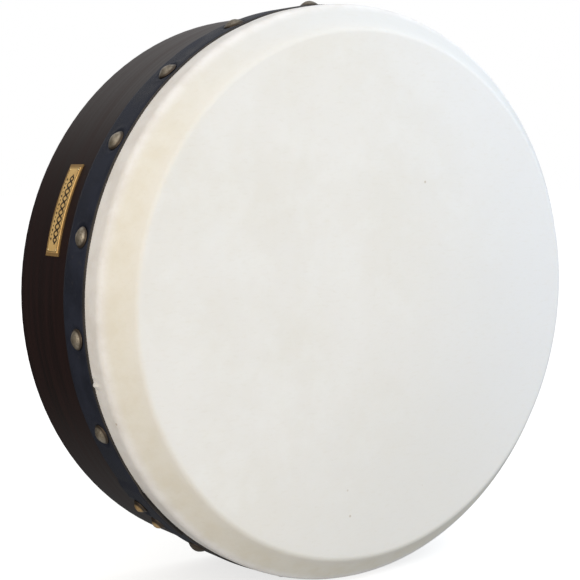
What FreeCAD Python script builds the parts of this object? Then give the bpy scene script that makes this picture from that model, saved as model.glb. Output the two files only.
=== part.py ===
import FreeCAD, Part
import math
import os
import Sketcher

# Bodhran: a hand-held frame drum with an inner ring that tightens its head.
#
# Frame, in millimetres: the drum stands upright with its axis along Y. The head
# faces -Y, the open back faces +Y, +Z is up, and the origin is the middle of the
# crossed bars that the player's hand holds. Lengths along the axis whose name ends
# in _front are counted from the origin towards the head, so they lie at -Y.
# Angles are counted from +X towards +Z, counter-clockwise as seen from the head.

SIZES = {
    "shell_radius": 228.6,
    "shell_wall": 9.5,
    "shell_front": 108.5,
    "shell_back": 25.0,
    "edge_round": 3.0,
    "rim_round": 2.0,
    "crest_radius": 208.7,
    "crest_front": 128.7,
    "crest_round": 5.0,
    "skin_thickness": 0.9,
    "skin_gap": 0.1,
    "skin_end_front": 59.7,
    "band_front": 89.6,
    "band_end_front": 56.2,
    "band_thickness": 1.4,
    "band_lip": 1.0,
    "lap_middle": 223.5,
    "lap_span": 12.0,
    "tack_count": 20,
    "tack_first": 5.3,
    "tack_head": 8.0,
    "tack_height": 4.0,
    "tack_shank": 1.1,
    "tack_length": 9.0,
    "tack_front": 76.0,
    "lap_tack_front": 62.6,
    "lap_tack_step": 5.4,
    "lap_tack_head": 6.6,
    "plate_middle": 162.0,
    "plate_span": 18.1,
    "plate_front": 28.7,
    "plate_width": 21.0,
    "plate_base": 0.7,
    "plate_field": 0.5,
    "plate_end_border": 2.6,
    "plate_side_border": 1.7,
    "pin_head": 0.9,
    "pin_height": 0.7,
    "pin_length": 5.0,
    "pin_from_end": 4.6,
    "pin_from_side": 4.0,
    "ring_outer": 210.3,
    "ring_wall": 9.0,
    "ring_depth": 22.0,
    "ring_gap": 0.3,
    "ring_back_round": 1.0,
    "tuner_count": 8,
    "tuner_first": 22.5,
    "pad_length": 14.0,
    "pad_width": 8.0,
    "pad_thickness": 2.0,
    "bolt_radius": 3.0,
    "bolt_clearance": 0.05,
    "bolt_tip_gap": 0.1,
    "bolt_length": 46.0,
    "collar_radius": 6.0,
    "collar_length": 1.6,
    "key_square": 6.3,
    "key_length": 9.0,
    "bracket_width": 24.0,
    "bracket_plate": 2.5,
    "bracket_front": 84.0,
    "bracket_length": 40.0,
    "lug_thickness": 8.0,
    "lug_reach": 9.0,
    "lug_round": 2.0,
    "bracket_fillet": 4.0,
    "bracket_gap": 0.35,
    "bracket_screw_front": 60.0,
    "bracket_screw_side": 7.0,
    "small_screw_head": 3.2,
    "small_screw_height": 1.9,
    "small_screw_shank": 1.5,
    "small_screw_length": 9.0,
    "bar_width": 28.0,
    "bar_thickness": 12.0,
    "bar_end_gap": 0.5,
    "bar_round": 3.0,
    "lap_gap": 0.05,
    "cleat_span": 50.0,
    "cleat_depth": 12.0,
    "cleat_reach": 14.0,
    "cleat_corner": 4.0,
    "bar_screw_inset": 7.5,
    "bar_screw_head": 4.0,
    "bar_screw_height": 2.4,
    "bar_screw_shank": 1.8,
    "bar_screw_length": 20.0,
}

# How far each hand-driven tack strays from even spacing, in degrees.
TACK_STRAY = (0.3, -0.4, 0.2, 0.0, -0.3, 0.4, 0.5, 0.0, -0.9, -0.1,
              0.2, 0.6, 1.0, -3.2, 0.3, 0.0, -0.4, 0.5, -0.2, 0.1)

MITRE = math.tan(math.radians(22.5))
DIAGONAL = math.sqrt(0.5)

doc = FreeCAD.newDocument("Bodhran")
sheet = doc.addObject("Spreadsheet::Sheet", "Sizes")


def fill_sheet():
    """Write each driving dimension into the sheet, with its name as the cell's alias."""
    for row, (name, value) in enumerate(SIZES.items(), start=1):
        sheet.set("A%d" % row, name)
        sheet.set("B%d" % row, str(value))
        sheet.setAlias("B%d" % row, name)
    doc.recompute()


class Size:
    """A length that carries its value and the sheet expression that gives it."""

    def __init__(self, text, value):
        self.text = text
        self.value = value

    def joined(self, sign, other, value):
        text = other.text if isinstance(other, Size) else repr(float(other))
        return Size("(%s %s %s)" % (self.text, sign, text), value)

    def __add__(self, other):
        return self.joined("+", other, self.value + number(other))

    def __sub__(self, other):
        return self.joined("-", other, self.value - number(other))

    def __mul__(self, other):
        return self.joined("*", other, self.value * number(other))

    def __truediv__(self, other):
        return self.joined("/", other, self.value / number(other))

    def __neg__(self):
        return Size("(0 - %s)" % self.text, -self.value)


def number(item):
    """The plain number in a Size, or the number itself."""
    return item.value if isinstance(item, Size) else float(item)


def size(name):
    """The named driving dimension."""
    return Size("Sizes." + name, float(sheet.get(name)))


def root(length):
    """The square root of a Size."""
    return Size("sqrt(%s)" % length.text, math.sqrt(length.value))


ZERO = Size("0", 0.0)


def bind(item, path, length):
    """Bind a property of an object to the sheet."""
    item.setExpression(path, length.text)


def turned(angle, along=0.0, side=0.0):
    """A placement that shifts a piece along Y and Z and turns it from +X to an angle."""
    shift = FreeCAD.Placement(FreeCAD.Vector(0, along, side), FreeCAD.Rotation())
    turn = FreeCAD.Rotation(FreeCAD.Vector(0, 1, 0), -angle)
    return FreeCAD.Placement(FreeCAD.Vector(), turn).multiply(shift)


def new_body(name):
    """An empty body whose label is the sub-part's name."""
    body = doc.addObject("PartDesign::Body", name)
    body.Label = name
    return body


def new_sketch(body, name, plane):
    """A sketch on one of the body's own origin planes."""
    sketch = body.newObject("Sketcher::SketchObject", name)
    for feature in body.Origin.OriginFeatures:
        if feature.Role == plane:
            sketch.AttachmentSupport = [(feature, "")]
    sketch.MapMode = "FlatFace"
    return sketch


def constrain(sketch, kind, length, *where):
    """Add one measured constraint and bind it to the sheet."""
    index = sketch.addConstraint(Sketcher.Constraint(kind, *where, number(length)))
    label = "%s_%d" % (kind.lower(), index)
    sketch.renameConstraint(index, label)
    bind(sketch, "Constraints." + label, length)


def arc_middle(start, end, radius):
    """The middle of an arc, bulging to the right of its travel, or left if negative."""
    chord = end.sub(start)
    half = chord.Length / 2
    rise = abs(radius) - math.sqrt(max(radius ** 2 - half ** 2, 0.0))
    right = FreeCAD.Vector(chord.y, -chord.x, 0).normalize()
    return (start + end) * 0.5 + right * math.copysign(rise, radius)


def outline(body, name, plane, points):
    """A closed sketch. A point with a third value starts an arc of that radius."""
    sketch = new_sketch(body, name, plane)
    corners = [FreeCAD.Vector(number(point[0]), number(point[1]), 0) for point in points]
    starts = []
    ends = []
    for index, point in enumerate(points):
        start = corners[index]
        end = corners[(index + 1) % len(points)]
        if len(point) == 3:
            sketch.addGeometry(Part.Arc(start, arc_middle(start, end, number(point[2])), end))
        else:
            sketch.addGeometry(Part.LineSegment(start, end))
        forward = sketch.getPoint(index, 1).distanceToPoint(start) < 1e-6
        starts.append(1 if forward else 2)
        ends.append(2 if forward else 1)
    for index, point in enumerate(points):
        following = (index + 1) % len(points)
        join = (index, ends[index], following, starts[following])
        sketch.addConstraint(Sketcher.Constraint("Coincident", *join))
        constrain(sketch, "DistanceX", point[0], -1, 1, index, starts[index])
        constrain(sketch, "DistanceY", point[1], -1, 1, index, starts[index])
        if len(point) == 3:
            radius = point[2]
            constrain(sketch, "Radius", radius if number(radius) > 0 else -radius, index)
    return sketch


def circles(body, name, plane, radius, centres):
    """A sketch of equal circles."""
    sketch = new_sketch(body, name, plane)
    for index, (across, up) in enumerate(centres):
        centre = FreeCAD.Vector(number(across), number(up), 0)
        sketch.addGeometry(Part.Circle(centre, FreeCAD.Vector(0, 0, 1), number(radius)))
        constrain(sketch, "DistanceX", across, -1, 1, index, 3)
        constrain(sketch, "DistanceY", up, -1, 1, index, 3)
        constrain(sketch, "Radius", radius, index)
    return sketch


def revolve(body, sketch, axis, angle=None):
    """Turn a sketch about its own V_Axis or H_Axis, fully or by an angle about its plane."""
    feature = body.newObject("PartDesign::Revolution", sketch.Name + "_turn")
    feature.Profile = sketch
    feature.ReferenceAxis = (sketch, [axis])
    if angle is None:
        feature.Angle = 360
    else:
        feature.Midplane = True
        bind(feature, "Angle", angle)
    sketch.Visibility = False
    return feature


def pad(body, sketch, length, midplane=False, reverse=False):
    """Pad a sketch by a length."""
    feature = body.newObject("PartDesign::Pad", sketch.Name + "_pad")
    feature.Profile = sketch
    feature.Midplane = midplane
    feature.Reversed = reverse
    bind(feature, "Length", length)
    sketch.Visibility = False
    return feature


def cut_through(body, sketch, reverse):
    """Cut a sketch through everything on one side of its plane, and check that it cut."""
    doc.recompute()
    before = body.Shape.Volume
    feature = body.newObject("PartDesign::Pocket", sketch.Name + "_cut")
    feature.Profile = sketch
    feature.Type = "ThroughAll"
    feature.Reversed = reverse
    sketch.Visibility = False
    doc.recompute()
    if body.Shape.Volume > before - 1.0:
        raise RuntimeError("nothing cut by " + feature.Name)
    return feature


def several(name, master, placements):
    """One sub-part that holds equal loose solids, each a placed copy of a master body."""
    doc.recompute()
    copies = []
    for placement in placements:
        copy = master.Shape.copy()
        copy.Placement = placement.multiply(master.Placement)
        copies.append(copy)
    group = doc.addObject("Part::Feature", name)
    group.Label = name
    group.Shape = Part.makeCompound(copies)
    group.Placement = FreeCAD.Placement()
    return group


# ---- sizes that several sub-parts share ----

fill_sheet()

shell_inner = size("shell_radius") - size("shell_wall")
skin_outer = size("shell_radius") + size("skin_gap") + size("skin_thickness")
band_inner = skin_outer + 0.05
band_outer = band_inner + size("band_thickness")
lap_outer = band_outer + size("band_thickness") + 0.05
ring_middle = size("ring_outer") - size("ring_wall") / 2
ring_front = size("crest_front") - size("skin_thickness") - size("ring_gap")
ring_back = ring_front - size("ring_depth")
pad_back = ring_back - size("pad_thickness")


def tuner_angles():
    """The angles of the tuners round the shell."""
    count = int(sheet.get("tuner_count"))
    return [sheet.get("tuner_first") + 360 * index / count for index in range(count)]


# ---- the drum's fixed pieces ----


def build_shell():
    """The bent wooden shell: a hoop, well rounded where the skin turns over its front edge."""
    body = new_body("shell")
    front = -size("shell_front")
    back = size("shell_back")
    outer = size("shell_radius")
    edge = size("edge_round")
    rim = size("rim_round")
    points = [
        (shell_inner + rim, front),
        (outer - edge, front, edge),
        (outer, front + edge),
        (outer, back - rim, rim),
        (outer - rim, back),
        (shell_inner + rim, back, rim),
        (shell_inner, back - rim),
        (shell_inner, front + rim, rim),
    ]
    revolve(body, outline(body, "shell_section", "XY_Plane", points), "V_Axis")
    return body


def build_skin():
    """The goatskin head: flat over the ring, sloped to the shell's edge, then down its wall."""
    body = new_body("skin")
    thick = size("skin_thickness")
    face = -size("crest_front")
    crest = size("crest_radius")
    turn = size("crest_round")
    edge = size("edge_round")
    wall = skin_outer
    bend = face + wall - crest
    end = -size("skin_end_front")
    inner_turn = turn - thick
    inner_edge = edge - thick
    inner_rise = inner_turn * (MITRE * DIAGONAL)
    under_face = face + thick
    under_crest = crest - thick * MITRE
    under_wall = wall - thick
    under_bend = bend + thick * MITRE
    points = [
        (ZERO, face),
        (crest - turn * MITRE, face, turn),
        (crest + turn * (MITRE * DIAGONAL), face + turn * (MITRE * DIAGONAL)),
        (wall - edge * (MITRE * DIAGONAL), bend - edge * (MITRE * DIAGONAL), edge),
        (wall, bend + edge * MITRE),
        (wall, end),
        (under_wall, end),
        (under_wall, under_bend + inner_edge * MITRE, -inner_edge),
        (under_wall - inner_edge * (MITRE * DIAGONAL), under_bend - inner_edge * (MITRE * DIAGONAL)),
        (under_crest + inner_rise, under_face + inner_rise, -inner_turn),
        (under_crest - inner_turn * MITRE, under_face),
        (ZERO, under_face),
    ]
    revolve(body, outline(body, "skin_section", "XY_Plane", points), "V_Axis")
    return body


def build_trim_band():
    """The band over the skin's edge, with a lip that steps down on to the bare wood."""
    body = new_body("trim_band")
    front = -size("band_front")
    back = -size("band_end_front")
    lip = -size("skin_end_front") + 0.5
    bare = size("shell_radius") + size("skin_gap")
    points = [
        (band_inner, front),
        (band_outer, front),
        (band_outer, back - size("band_lip")),
        (band_outer - size("band_lip"), back),
        (bare, back),
        (bare, lip),
        (band_inner, lip),
    ]
    revolve(body, outline(body, "band_section", "XY_Plane", points), "V_Axis")
    return body


def build_band_end():
    """The free end of the band, which laps over its start for a short way."""
    body = new_body("band_end")
    front = -size("band_front")
    back = -size("band_end_front")
    points = [
        (band_outer + 0.05, front),
        (lap_outer, front),
        (lap_outer, back - size("band_lip")),
        (band_outer + 0.05, back - size("band_lip")),
    ]
    sketch = outline(body, "lap_section", "XY_Plane", points)
    revolve(body, sketch, "V_Axis", size("lap_span"))
    body.Placement = turned(sheet.get("lap_middle"))
    return body


def build_tack_master(name, seat, head):
    """One domed upholstery tack on the X axis, with its head's flat side on a seat radius."""
    body = new_body(name)
    height = size("tack_height")
    dome = (head * head + height * height) / (height * 2)
    shank = size("tack_shank")
    tip = seat - size("tack_length")
    points = [
        (tip, ZERO),
        (seat + height, ZERO, dome),
        (seat, head),
        (seat, shank),
        (tip + shank * 2, shank),
    ]
    revolve(body, outline(body, name + "_section", "XY_Plane", points), "H_Axis")
    return body


def build_tacks():
    """The ring of tacks through band and skin, with a smaller, closer pair through the lapped end."""
    plain = build_tack_master("tack_master", band_outer + 0.2, size("tack_head"))
    lapped = build_tack_master("lap_tack_master", lap_outer + 0.2, size("lap_tack_head"))
    count = int(sheet.get("tack_count"))
    first = sheet.get("tack_first")
    lap_low = sheet.get("lap_middle") - sheet.get("lap_span") / 2
    lap_high = sheet.get("lap_middle") + sheet.get("lap_span") / 2
    on_band = []
    on_lap = []
    for index, stray in zip(range(count), TACK_STRAY):
        angle = first + 360 * index / count + stray
        if lap_low < angle < lap_high:
            on_lap.append(turned(angle, -sheet.get("lap_tack_front")))
            on_lap.append(turned(angle + sheet.get("lap_tack_step"), -sheet.get("lap_tack_front")))
        else:
            on_band.append(turned(angle, -sheet.get("tack_front")))
    return [several("tacks", plain, on_band), several("lap_tacks", lapped, on_lap)]


def build_name_plate():
    """The small curved brass plate on the wall: a base with a narrower raised field."""
    body = new_body("name_plate")
    middle = -size("plate_front")
    half = size("plate_width") / 2
    seat = size("shell_radius") + 0.05
    step = seat + size("plate_base")
    top = step + size("plate_field")
    side = size("plate_side_border")
    bevel = side + 0.4
    base = [
        (seat, middle - half),
        (step, middle - half),
        (step, middle + half),
        (seat, middle + half),
    ]
    field = [
        (seat + 0.1, middle - half + side),
        (top, middle - half + bevel),
        (top, middle + half - bevel),
        (seat + 0.1, middle + half - side),
    ]
    revolve(body, outline(body, "plate_base_section", "XY_Plane", base), "V_Axis", size("plate_span"))
    field_span = size("plate_span") - size("plate_end_border") * (2 * 180 / math.pi) / size("shell_radius")
    revolve(body, outline(body, "plate_field_section", "XY_Plane", field), "V_Axis", field_span)
    body.Placement = turned(sheet.get("plate_middle"))
    return body


def build_plate_pins():
    """The four small round pins in the corners of the plate's field."""
    body = new_body("pin_master")
    seat = size("shell_radius") + size("plate_base") + size("plate_field") + 0.1
    head = size("pin_head")
    height = size("pin_height")
    dome = (head * head + height * height) / (height * 2)
    tip = seat - size("pin_length")
    points = [
        (tip, ZERO),
        (seat + height, ZERO, dome),
        (seat, head),
        (seat, head * 0.5),
        (tip, head * 0.5),
    ]
    revolve(body, outline(body, "pin_section", "XY_Plane", points), "H_Axis")
    end_gap = math.degrees(sheet.get("pin_from_end") / sheet.get("shell_radius"))
    half_span = sheet.get("plate_span") / 2 - end_gap
    half_width = sheet.get("plate_width") / 2 - sheet.get("pin_from_side")
    placements = []
    for around in (-half_span, half_span):
        for along in (-half_width, half_width):
            angle = sheet.get("plate_middle") + around
            placements.append(turned(angle, along - sheet.get("plate_front")))
    return several("plate_pins", body, placements)


# ---- the tuning gear ----


def build_tuning_ring():
    """The wooden ring that pushes the skin forwards, rounded where the skin bears on it."""
    body = new_body("tuning_ring")
    outer = size("ring_outer")
    inner = outer - size("ring_wall")
    front = -ring_front
    back = -ring_back
    crest = size("crest_round")
    easing = size("edge_round")
    small = size("ring_back_round")
    points = [
        (inner + easing, front),
        (outer - crest, front, crest),
        (outer, front + crest),
        (outer, back - small, small),
        (outer - small, back),
        (inner + small, back, small),
        (inner, back - small),
        (inner, front + easing, easing),
    ]
    revolve(body, outline(body, "ring_section", "XY_Plane", points), "V_Axis")
    return body


def build_bearing_pad(index, angle):
    """A steel pad let on to the ring's back for one bolt's tip."""
    plate = doc.addObject("Part::Box", "bearing_pad_%d" % index)
    plate.Label = "bearing_pad_%d" % index
    bind(plate, "Length", size("pad_width"))
    bind(plate, "Width", size("pad_thickness"))
    bind(plate, "Height", size("pad_length"))
    shift = turned(angle, -number(ring_back), -sheet.get("pad_length") / 2)
    inward = FreeCAD.Vector(number(ring_middle) - sheet.get("pad_width") / 2, 0, 0)
    plate.Placement = shift.multiply(FreeCAD.Placement(inward, FreeCAD.Rotation()))
    return plate


def build_tuning_bolt(index, angle):
    """A tuning bolt: plain shaft, collar and a square head for a drum key."""
    name = "tuning_bolt_%d" % index
    body = new_body(name)
    tip = -pad_back + size("bolt_tip_gap")
    shoulder = tip + size("bolt_length")
    radius = size("bolt_radius")
    collar = size("collar_radius")
    nose = radius * 0.3
    points = [
        (ZERO, tip),
        (radius - nose, tip),
        (radius, tip + nose),
        (radius, shoulder),
        (collar, shoulder),
        (collar, shoulder + size("collar_length")),
        (ZERO, shoulder + size("collar_length")),
    ]
    revolve(body, outline(body, name + "_section", "XY_Plane", points), "V_Axis")
    half = size("key_square") / 2
    square = [(-half, -half), (half, -half), (half, half), (-half, half)]
    key = outline(body, name + "_key", "XZ_Plane", square)
    key.AttachmentOffset = FreeCAD.Placement(
        FreeCAD.Vector(0, 0, -number(shoulder) - 1.0), FreeCAD.Rotation())
    bind(key, "AttachmentOffset.Base.z", -shoulder - 1.0)
    pad(body, key, size("key_length") + 0.6, reverse=True)
    outward = FreeCAD.Placement(FreeCAD.Vector(number(ring_middle), 0, 0), FreeCAD.Rotation())
    body.Placement = turned(angle).multiply(outward)
    return body


def build_tuner_bracket(index, angle):
    """A steel angle bracket on the shell's inner wall, bored in its lug for one bolt."""
    name = "tuner_bracket_%d" % index
    body = new_body(name)
    front = -size("bracket_front")
    back = front + size("bracket_length")
    half = size("bracket_width") / 2
    outer = root(shell_inner * shell_inner - half * half) - 0.02
    inner = outer - size("bracket_plate")
    lug_back = front + size("lug_thickness")
    lug_end = ring_middle - size("lug_reach")
    fillet = size("bracket_fillet")
    small = size("lug_round")
    points = [
        (outer, front),
        (outer, back),
        (inner, back),
        (inner, lug_back + fillet, -fillet),
        (inner - fillet, lug_back),
        (lug_end + small, lug_back, small),
        (lug_end, lug_back - small),
        (lug_end, front + small, small),
        (lug_end + small, front),
    ]
    pad(body, outline(body, name + "_section", "XY_Plane", points), size("bracket_width"), midplane=True)
    bore = size("bolt_radius") + size("bolt_clearance")
    cut_through(body, circles(body, name + "_bore", "XZ_Plane", bore, [(ring_middle, ZERO)]), True)
    side = size("bracket_screw_side")
    place = -size("bracket_screw_front")
    hole = size("small_screw_shank") + 0.1
    holes = circles(body, name + "_holes", "YZ_Plane", hole, [(place, side), (place, -side)])
    cut_through(body, holes, True)
    body.Placement = turned(angle)
    return body


def build_bracket_screws():
    """Two short wood screws that hold each bracket, driven from inside the drum."""
    body = new_body("bracket_screw_master")
    half = size("bracket_width") / 2
    seat = root(shell_inner * shell_inner - half * half) - size("bracket_plate") - 0.05
    head = size("small_screw_head")
    height = size("small_screw_height")
    dome = (head * head + height * height) / (height * 2)
    shank = size("small_screw_shank")
    tip = seat + size("small_screw_length")
    points = [
        (tip, ZERO),
        (tip - shank * 2, shank),
        (seat, shank),
        (seat, head, dome),
        (seat - height, ZERO),
    ]
    revolve(body, outline(body, "bracket_screw_section", "XY_Plane", points), "H_Axis")
    along = -sheet.get("bracket_screw_front")
    side = sheet.get("bracket_screw_side")
    placements = [turned(angle, along, across) for angle in tuner_angles() for across in (-side, side)]
    return several("bracket_screws", body, placements)


# ---- the crossed bars that the hand holds ----


def bar_end():
    """Half the length of a crossbar, whose square end just clears the curved wall."""
    return root(shell_inner * shell_inner - size("bar_width") * size("bar_width") / 4) - size("bar_end_gap")


def build_crossbar(name, angle, notch_in_front):
    """One round-edged wooden bar, halved at its middle to cross the other one."""
    body = new_body(name)
    end = bar_end()
    half = size("bar_width") / 2
    face = [(-end, -half), (end, -half), (end, half), (-end, half)]
    plank = pad(body, outline(body, name + "_face", "XZ_Plane", face), size("bar_thickness"), midplane=True)
    doc.recompute()
    long_edges = [
        "Edge%d" % (index + 1)
        for index, edge in enumerate(plank.Shape.Edges)
        if edge.Length > number(end)
    ]
    rounding = body.newObject("PartDesign::Fillet", name + "_rounding")
    rounding.Base = (plank, long_edges)
    bind(rounding, "Radius", size("bar_round"))
    notch = half + size("lap_gap")
    square = [(-notch, -notch), (notch, -notch), (notch, notch), (-notch, notch)]
    cut_through(body, outline(body, name + "_notch", "XZ_Plane", square), notch_in_front)
    inset = end - size("bar_screw_inset")
    hole = size("bar_screw_shank") + 0.1
    centres = [(inset, ZERO), (-inset, ZERO)]
    for reverse in (False, True):
        holes = circles(body, name + "_holes_%d" % reverse, "XZ_Plane", hole, centres)
        cut_through(body, holes, reverse)
    body.Placement = turned(angle)
    return body


def build_cleat(index, angle):
    """A wooden block glued to the wall, on which one bar end is screwed."""
    name = "crossbar_cleat_%d" % index
    body = new_body(name)
    wall = shell_inner - 0.05
    half = size("cleat_span") / 2
    corner = size("cleat_corner")
    outer = root(wall * wall - half * half)
    inner = shell_inner - size("cleat_reach")
    face = [
        (inner, -half + corner),
        (inner + corner, -half),
        (outer, -half, wall),
        (outer, half),
        (inner + corner, half),
        (inner, half - corner),
    ]
    sketch = outline(body, name + "_face", "XZ_Plane", face)
    sketch.AttachmentOffset = FreeCAD.Placement(
        FreeCAD.Vector(0, 0, sheet.get("bar_thickness") / 2), FreeCAD.Rotation())
    bind(sketch, "AttachmentOffset.Base.z", size("bar_thickness") / 2)
    pad(body, sketch, size("cleat_depth"))
    body.Placement = turned(angle)
    return body


def build_crossbar_screws(angles):
    """One round-headed brass screw through each bar end into its cleat."""
    body = new_body("bar_screw_master")
    seat = size("bar_thickness") / 2 + 0.05
    head = size("bar_screw_head")
    height = size("bar_screw_height")
    dome = (head * head + height * height) / (height * 2)
    shank = size("bar_screw_shank")
    tip = seat - size("bar_screw_length")
    points = [
        (ZERO, tip),
        (shank, tip + shank * 2),
        (shank, seat),
        (head, seat, dome),
        (ZERO, seat + height),
    ]
    revolve(body, outline(body, "bar_screw_section", "XY_Plane", points), "V_Axis")
    reach = number(bar_end() - size("bar_screw_inset"))
    outward = FreeCAD.Placement(FreeCAD.Vector(reach, 0, 0), FreeCAD.Rotation())
    return several("crossbar_screws", body, [turned(angle).multiply(outward) for angle in angles])


def build_all():
    """Build every sub-part and return them in a list."""
    parts = [build_shell(), build_skin(), build_trim_band(), build_band_end()]
    parts += build_tacks()
    parts += [build_name_plate(), build_plate_pins(), build_tuning_ring()]
    for index, angle in enumerate(tuner_angles(), start=1):
        parts.append(build_bearing_pad(index, angle))
        parts.append(build_tuning_bolt(index, angle))
        parts.append(build_tuner_bracket(index, angle))
    parts.append(build_bracket_screws())
    parts.append(build_crossbar("crossbar_level", 0.0, False))
    parts.append(build_crossbar("crossbar_upright", 90.0, True))
    quarter_angles = (0.0, 90.0, 180.0, 270.0)
    for index, angle in enumerate(quarter_angles, start=1):
        parts.append(build_cleat(index, angle))
    parts.append(build_crossbar_screws(quarter_angles))
    return parts


def check_document():
    """Stop if any object of the document has failed."""
    for item in doc.Objects:
        if "Invalid" in item.State or "Error" in item.State:
            raise RuntimeError("failed: %s %s" % (item.Name, item.State))


def write_parts(parts):
    """Write each sub-part's solid to its own file."""
    os.makedirs("parts", exist_ok=True)
    for part in parts:
        if part.Shape.isNull() or not part.Shape.isValid():
            raise RuntimeError("bad shape: " + part.Label)
        part.Shape.exportStep("parts/%s.step" % part.Label)
        box = part.Shape.BoundBox
        print("%-20s solids %2d  volume %10.1f  x %7.1f %7.1f  y %7.1f %7.1f  z %7.1f %7.1f" % (
            part.Label, len(part.Shape.Solids), part.Shape.Volume,
            box.XMin, box.XMax, box.YMin, box.YMax, box.ZMin, box.ZMax))


all_parts = build_all()
doc.recompute()
check_document()
write_parts(all_parts)
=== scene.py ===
import math
import random

import bmesh
import bpy
from mathutils import Matrix, Vector, noise


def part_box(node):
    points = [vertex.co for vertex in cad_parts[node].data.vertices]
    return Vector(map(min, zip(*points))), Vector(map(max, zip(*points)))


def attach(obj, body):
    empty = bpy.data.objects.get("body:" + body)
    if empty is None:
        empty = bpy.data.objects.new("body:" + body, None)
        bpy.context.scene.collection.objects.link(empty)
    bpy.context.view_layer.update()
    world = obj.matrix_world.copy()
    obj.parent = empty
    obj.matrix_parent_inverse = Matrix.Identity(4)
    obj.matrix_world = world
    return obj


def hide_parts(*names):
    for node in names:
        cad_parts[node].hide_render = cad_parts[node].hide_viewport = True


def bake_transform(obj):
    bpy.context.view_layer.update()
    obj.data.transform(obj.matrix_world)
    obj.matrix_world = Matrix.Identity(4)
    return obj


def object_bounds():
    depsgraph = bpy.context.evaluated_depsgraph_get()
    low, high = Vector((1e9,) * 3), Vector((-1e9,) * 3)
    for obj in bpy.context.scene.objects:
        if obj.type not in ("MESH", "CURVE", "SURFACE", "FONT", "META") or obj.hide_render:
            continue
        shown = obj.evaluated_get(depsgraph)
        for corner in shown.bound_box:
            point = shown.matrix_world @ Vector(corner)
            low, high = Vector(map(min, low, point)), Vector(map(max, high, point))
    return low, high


# Looks for a bodhran: a frame drum whose head faces -Y, with +Z up and its axis along Y.
# Angles are counted from +X towards +Z. Lengths are in metres.

MM = 0.001
TAU = 2 * math.pi

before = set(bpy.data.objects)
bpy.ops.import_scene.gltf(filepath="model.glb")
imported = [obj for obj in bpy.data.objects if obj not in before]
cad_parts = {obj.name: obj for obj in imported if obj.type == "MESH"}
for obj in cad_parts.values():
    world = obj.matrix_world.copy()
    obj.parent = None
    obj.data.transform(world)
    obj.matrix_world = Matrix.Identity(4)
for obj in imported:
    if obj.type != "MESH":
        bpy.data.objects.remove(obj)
cad_box = [list(corner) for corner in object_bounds()]

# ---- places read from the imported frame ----


def span_round(node):
    """The first and last angle of a CAD node round the drum's axis, and its greatest radius."""
    low_corner, high_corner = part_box(node)
    middle = (low_corner + high_corner) / 2
    centre = math.atan2(middle.z, middle.x)
    angles = []
    radii = []
    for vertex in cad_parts[node].data.vertices:
        turn = math.atan2(vertex.co.z, vertex.co.x) - centre
        angles.append((turn + math.pi) % TAU - math.pi + centre)
        radii.append(math.hypot(vertex.co.x, vertex.co.z))
    return min(angles), max(angles), max(radii)


def loose_middles(node):
    """The middle of each separate solid in a CAD node."""
    mesh = bmesh.new()
    mesh.from_mesh(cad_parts[node].data)
    bmesh.ops.remove_doubles(mesh, verts=mesh.verts, dist=0.01 * MM)
    left = set(mesh.verts)
    middles = []
    while left:
        group = [left.pop()]
        island = list(group)
        while group:
            for edge in group.pop().link_edges:
                for other in edge.verts:
                    if other in left:
                        left.remove(other)
                        group.append(other)
                        island.append(other)
        low = Vector(map(min, *(v.co for v in island)))
        high = Vector(map(max, *(v.co for v in island)))
        middles.append((low + high) / 2)
    mesh.free()
    return sorted(middles, key=lambda place: math.atan2(place.z, place.x))


SHELL_LOW, SHELL_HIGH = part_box("shell")
SKIN_LOW, SKIN_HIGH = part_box("skin")
BAND_LOW, BAND_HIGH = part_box("trim_band")
PLATE_LOW, PLATE_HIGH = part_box("name_plate")
SHELL_RADIUS = SHELL_HIGH.z
SKIN_RADIUS = SKIN_HIGH.z
BAND_RADIUS = BAND_HIGH.z
SHELL_FRONT = SHELL_LOW.y
FACE = SKIN_LOW.y
SKIRT_END = SKIN_HIGH.y
BAND_FRONT = BAND_LOW.y
BAND_BACK = BAND_HIGH.y
PLATE_FRONT = PLATE_LOW.y
PLATE_BACK = PLATE_HIGH.y
FLOOR = min(cad_box[0][2], -BAND_RADIUS)

LAP_FIRST, LAP_LAST, LAP_OUTER = span_round("band_end")
PLATE_FIRST, PLATE_LAST, PLATE_TOP = span_round("name_plate")
TACK_PLACES = loose_middles("tacks")
LAP_TACK_PLACES = loose_middles("lap_tacks")
TACK_SPOTS = sorted((math.atan2(p.z, p.x), p.y) for p in TACK_PLACES + LAP_TACK_PLACES)
TACK_ANGLES = [angle for angle, along in TACK_SPOTS]

# ---- the drum's own proportions ----

SLOPE_WIDTH = 20.9 * MM
CREST_ROUND = 7.0 * MM
EDGE_ROUND = 8.0 * MM
SKIN_THICKNESS = 0.9 * MM
BAND_THICKNESS = 1.4 * MM
BEAD_RADIUS = 1.4 * MM
SECOND_BEAD_RADIUS = 1.0 * MM
BEAD_FLATNESS = 0.6
BEAD_RISE = 0.5 * MM
BEAD_TWIST = 0.13
TACK_RADIUS = 8.0 * MM
LAP_TACK_RADIUS = 6.6 * MM
TACK_DOME = 4.6 * MM
TACK_BRIM = 1.4 * MM
TACK_SINK = 0.75 * MM
TACK_LEAN = 0.05
LINE_TOP = 0.06 * MM
LINE_ROOT = -0.05 * MM
WALL_THICKNESS = 9.5 * MM
BRACKET_GAP = 0.35 * MM
BRACKET_THICKNESS = 2.5 * MM
PUCKER_ANGLE = math.radians(193.8)


def polar(radius, angle, along):
    """The point at a radius and an angle round the drum's axis, at a Y."""
    return Vector((radius * math.cos(angle), along, radius * math.sin(angle)))


def angle_gap(first, second):
    """The unsigned angle between two directions."""
    return abs((first - second + math.pi) % TAU - math.pi)


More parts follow.
